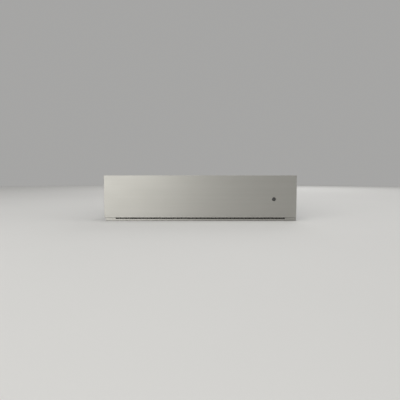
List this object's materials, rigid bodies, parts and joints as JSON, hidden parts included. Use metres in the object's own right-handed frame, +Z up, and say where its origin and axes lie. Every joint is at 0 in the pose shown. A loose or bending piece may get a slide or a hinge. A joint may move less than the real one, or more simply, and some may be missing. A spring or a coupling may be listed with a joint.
{
  "type": "built-in warming drawer",
  "caption": "Handleless push-to-open warming drawer: steel housing, full-extension drawer on ball rails, heated glass base, blower and inner temperature knob.",
  "frame": {"origin": "middle of the rectangle that the whole drawer covers, on the ground line of the base ribs", "axes": "+Z up, -Y towards the user and the way the drawer opens, +X to the user's right"},
  "size_m": [0.595, 0.548, 0.141],
  "materials": {
    "stainless_brushed": "brushed along X, satin",
    "galvanised_sheet": "galvanised with a fine spangle",
    "zinc_rail": "zinc plated, satin",
    "fastener_steel": "zinc plated",
    "black_plastic": "fine grain",
    "light_plastic": "moulded, dull",
    "control_plate": "satin black with a printed scale",
    "knob_plastic": "satin black",
    "lamp_lens": "smoked, polished",
    "lamp_bezel": "satin chrome",
    "lamp_holder": "moulded",
    "rubber_black": "dull",
    "mat_silicone": "fine ribs, dull",
    "clear_glass": "toughened, clear with a green edge",
    "fibre_board": "pressed mineral fibre",
    "element_sheath": "oxidised sheath",
    "rotor_aluminium": "rolled",
    "stator_laminations": "stacked laminations",
    "copper_coil": "varnished winding",
    "die_cast": "die cast",
    "lead_jacket": "smooth jacket"
  },
  "bodies": {
    "housing": {"housing_base": "galvanised_sheet", "housing_side_right": "galvanised_sheet", "housing_side_left": "galvanised_sheet", "housing_rear": "galvanised_sheet", "housing_top": "galvanised_sheet", "housing_screws": "fastener_steel", "bottom_trim": "stainless_brushed", "vent_grille": "black_plastic", "terminal_box": "light_plastic", "terminal_block": "light_plastic", "cable_gland": "black_plastic", "latch_body": "black_plastic", "latch_spring": "fastener_steel", "rail_outer_right": "zinc_rail", "rail_outer_left": "zinc_rail", "drawer_lead": "lead_jacket", "lead_clip": "black_plastic"},
    "drawer": {"front_panel": "stainless_brushed", "front_insulation": "fibre_board", "front_inner_sheet": "galvanised_sheet", "pilot_bezel": "lamp_bezel", "pilot_lens": "lamp_lens", "pilot_lamp": "lamp_holder", "buffers": "rubber_black", "drawer_screws": "fastener_steel", "drawer_floor": "stainless_brushed", "drawer_front_wall": "stainless_brushed", "drawer_side_right": "stainless_brushed", "drawer_side_left": "stainless_brushed", "drawer_rear": "stainless_brushed", "glass_base": "clear_glass", "non_slip_mat": "mat_silicone", "underpan": "galvanised_sheet", "insulation_blanket": "fibre_board", "heating_element": "element_sheath", "element_hangers": "galvanised_sheet", "rail_inner_right": "zinc_rail", "rail_inner_left": "zinc_rail", "latch_striker": "galvanised_sheet", "control_box": "black_plastic", "control_fascia": "control_plate", "thermostat": "light_plastic", "blower_scroll": "galvanised_sheet", "motor_stator": "stator_laminations", "motor_coil": "copper_coil", "shaft_supports": "die_cast", "rubber_mounts": "rubber_black", "safety_cutout": "light_plastic", "junction_box": "black_plastic", "control_lead": "lead_jacket", "lead_clips": "black_plastic"},
    "middle_rail_right": {"rail_middle_right": "zinc_rail"},
    "middle_rail_left": {"rail_middle_left": "zinc_rail"},
    "outer_cages": {"outer_ball_cages": "zinc_rail"},
    "inner_cages": {"inner_ball_cages": "zinc_rail"},
    "latch_pin": {"latch_plunger": "light_plastic"},
    "knob": {"thermostat_knob": "knob_plastic", "knob_shaft": "fastener_steel"},
    "rotor": {"blower_rotor": "rotor_aluminium", "motor_shaft": "fastener_steel"}
  },
  "joints": [
    {"name": "drawer_slide", "type": "slide", "parent": "housing", "child": "drawer", "axis": [0, -1, 0], "range_m": [0, 0.42], "deforming": ["drawer_lead"]},
    {"name": "middle_rail_right_slide", "type": "slide", "parent": "housing", "child": "middle_rail_right", "axis": [0, -1, 0], "range_m": [0, 0.21]},
    {"name": "middle_rail_left_slide", "type": "slide", "parent": "housing", "child": "middle_rail_left", "axis": [0, -1, 0], "range_m": [0, 0.21]},
    {"name": "outer_cages_roll", "type": "slide", "parent": "housing", "child": "outer_cages", "axis": [0, -1, 0], "range_m": [0, 0.105]},
    {"name": "inner_cages_roll", "type": "slide", "parent": "housing", "child": "inner_cages", "axis": [0, -1, 0], "range_m": [0, 0.315]},
    {"name": "latch_pin_slide", "type": "slide", "parent": "housing", "child": "latch_pin", "axis": [0, -1, 0], "range_m": [0, 0.014], "deforming": ["latch_spring"]},
    {"name": "knob_turn", "type": "hinge", "parent": "drawer", "child": "knob", "pos_m": [0.2128, -0.223, 0.115], "axis": [0, 0, -1], "range_deg": [0, 270]},
    {"name": "rotor_spin", "type": "hinge", "parent": "drawer", "child": "rotor", "pos_m": [0, 0.194, 0.066], "axis": [1, 0, 0], "continuous": true}
  ],
  "couplings": [
    {"joint": "middle_rail_right_slide", "follows": "drawer_slide", "ratio": 0.5},
    {"joint": "middle_rail_left_slide", "follows": "drawer_slide", "ratio": 0.5},
    {"joint": "outer_cages_roll", "follows": "drawer_slide", "ratio": 0.25},
    {"joint": "inner_cages_roll", "follows": "drawer_slide", "ratio": 0.75},
    {"joint": "latch_pin_slide", "follows": "drawer_slide", "ratio": 0.033333}
  ]
}
